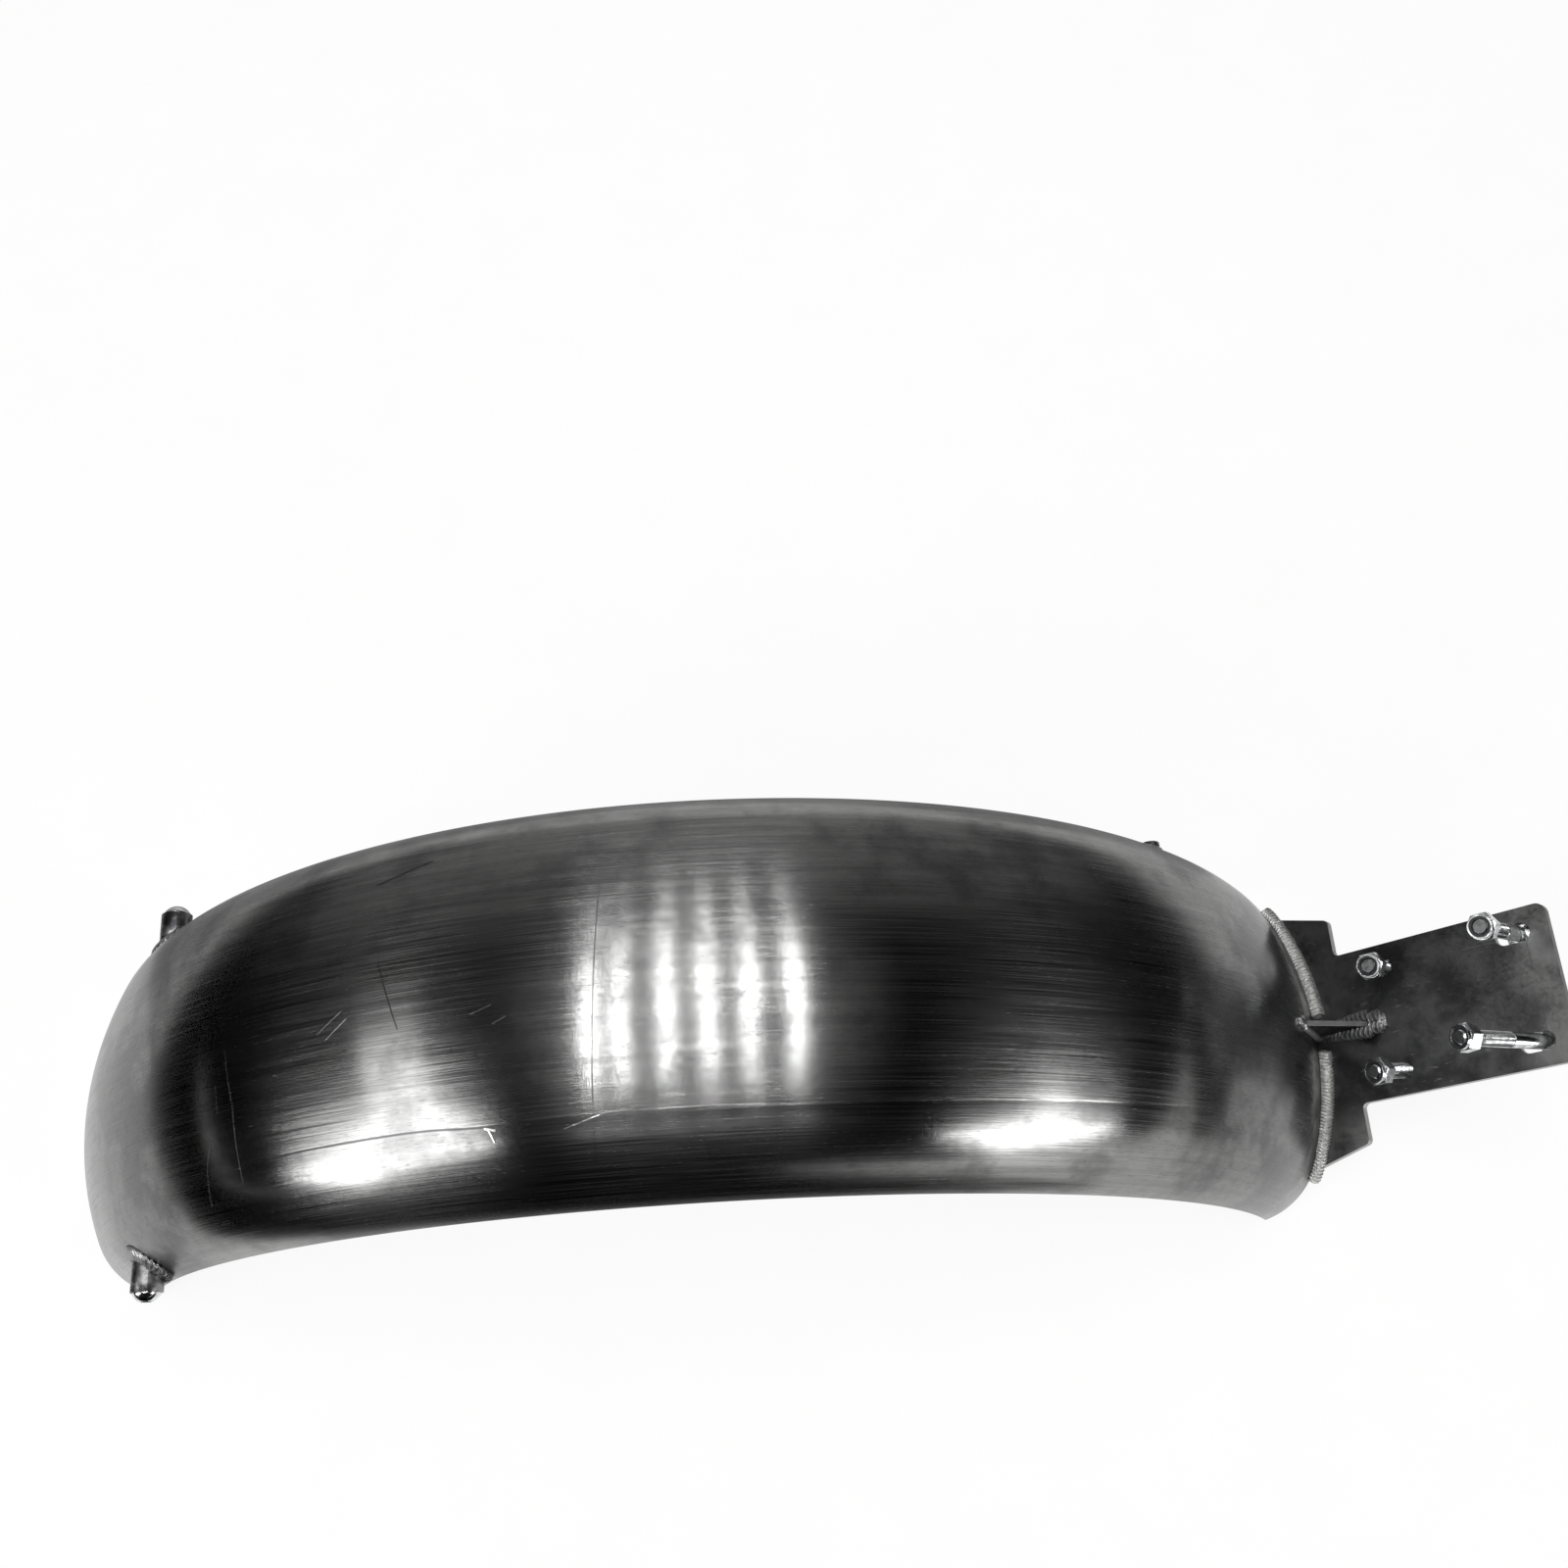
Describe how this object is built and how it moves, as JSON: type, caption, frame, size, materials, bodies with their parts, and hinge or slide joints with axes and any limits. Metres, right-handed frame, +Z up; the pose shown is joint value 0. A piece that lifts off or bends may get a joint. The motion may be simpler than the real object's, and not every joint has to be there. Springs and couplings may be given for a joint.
{
  "type": "motorcycle rear fender",
  "caption": "Short rear fender for a motorcycle in bare steel: a rolled shell with a slotted mounting plate, a gusset rib and threaded side bosses for a stay.",
  "frame": {"origin": "bottom centre of the bounding box, on the surface that the skirt corners rest on", "axes": "+X toward the mounting plate, the front end; +Y toward the side with the threaded side bush; +Z up, out of the crown"},
  "size_m": [0.7744, 0.2048, 0.2472],
  "materials": {
    "shell_steel": "raw rolled sheet, brushed along its length",
    "plate_steel": "dark mill scale, satin",
    "boss_steel": "turned bar, darkened by welding",
    "weld_steel": "rippled weld bead",
    "zinc_steel": "bright zinc plating",
    "nylon": "dark nylon ring"
  },
  "bodies": {
    "root": {"fender_shell": "shell_steel", "mounting_plate": "plate_steel", "plate_weld_near": "weld_steel", "plate_weld_far": "weld_steel", "gusset_rib": "plate_steel", "gusset_weld_near": "weld_steel", "gusset_weld_far": "weld_steel", "tail_boss_near": "boss_steel", "tail_boss_far": "boss_steel", "boss_weld_near": "weld_steel", "boss_weld_far": "weld_steel", "tail_bolt_near": "zinc_steel", "tail_bolt_far": "zinc_steel", "side_bush": "boss_steel", "side_bush_weld": "weld_steel", "plate_bolt_short_near": "zinc_steel", "lock_nut_short_near": "zinc_steel", "nut_insert_short_near": "nylon", "plate_bolt_short_far": "zinc_steel", "lock_nut_short_far": "zinc_steel", "nut_insert_short_far": "nylon", "plate_bolt_long_near": "zinc_steel", "lock_nut_long_near": "zinc_steel", "nut_insert_long_near": "nylon", "plate_bolt_long_far": "zinc_steel", "lock_nut_long_far": "zinc_steel", "nut_insert_long_far": "nylon"}
  },
  "joints": []
}
